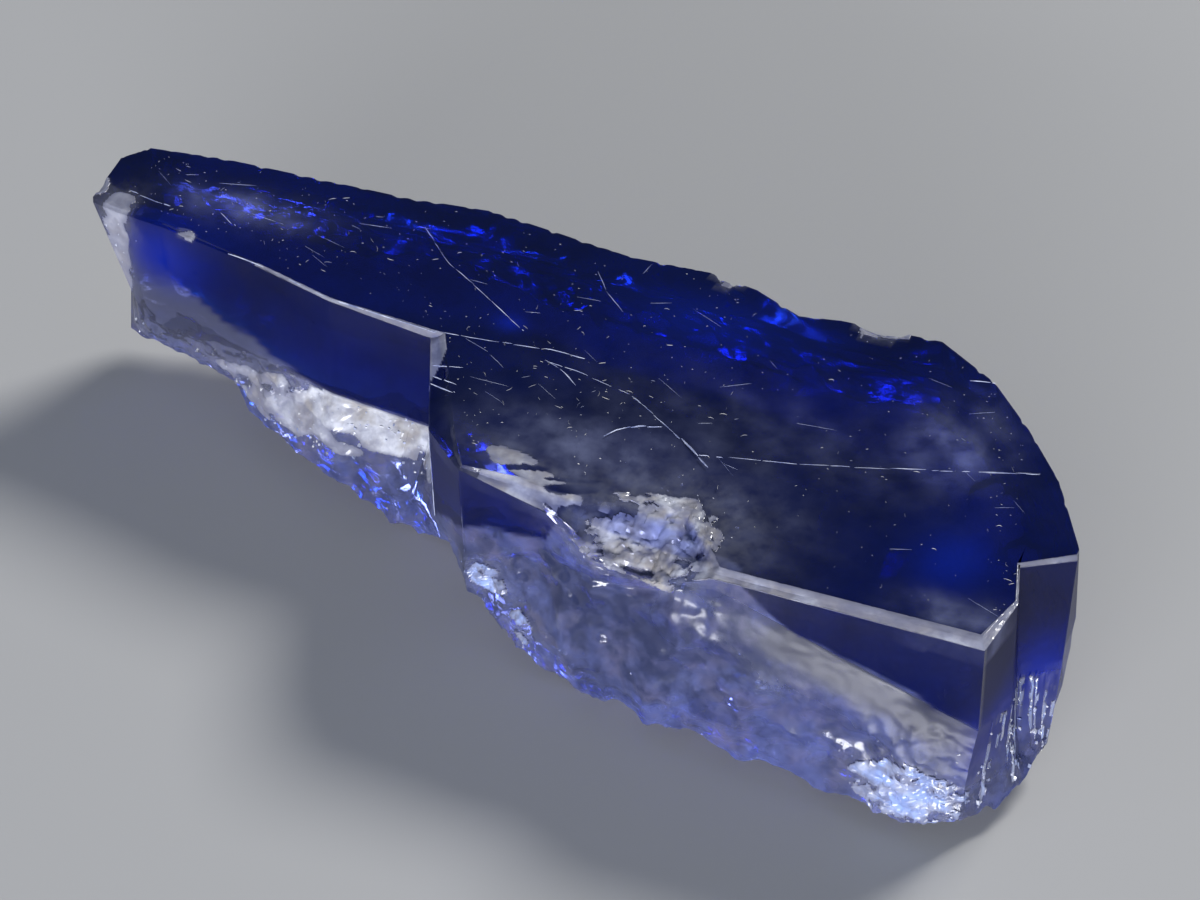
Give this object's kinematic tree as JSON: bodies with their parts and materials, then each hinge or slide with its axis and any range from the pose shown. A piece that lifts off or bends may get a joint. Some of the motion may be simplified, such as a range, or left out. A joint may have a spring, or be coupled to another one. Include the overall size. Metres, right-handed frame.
{
  "type": "blue halite cleavage fragment",
  "caption": "Loose cleavage fragment of colour-zoned blue rock salt, flat on top with broken lower edges, lying on a small flat spot.",
  "frame": {"origin": "under the middle of the box, on the surface that the stone lies on", "axes": "+X along the long cleavage edge to the broad end, +Y to the straight back face, +Z out of the flat top cleavage face"},
  "size_m": [0.0374, 0.0165, 0.0074],
  "materials": {
    "blue_salt": "clear, colour-zoned deep blue, glassy cleavage faces and frosted breaks"
  },
  "bodies": {
    "root": {"halite_crystal": "blue_salt"}
  },
  "joints": []
}
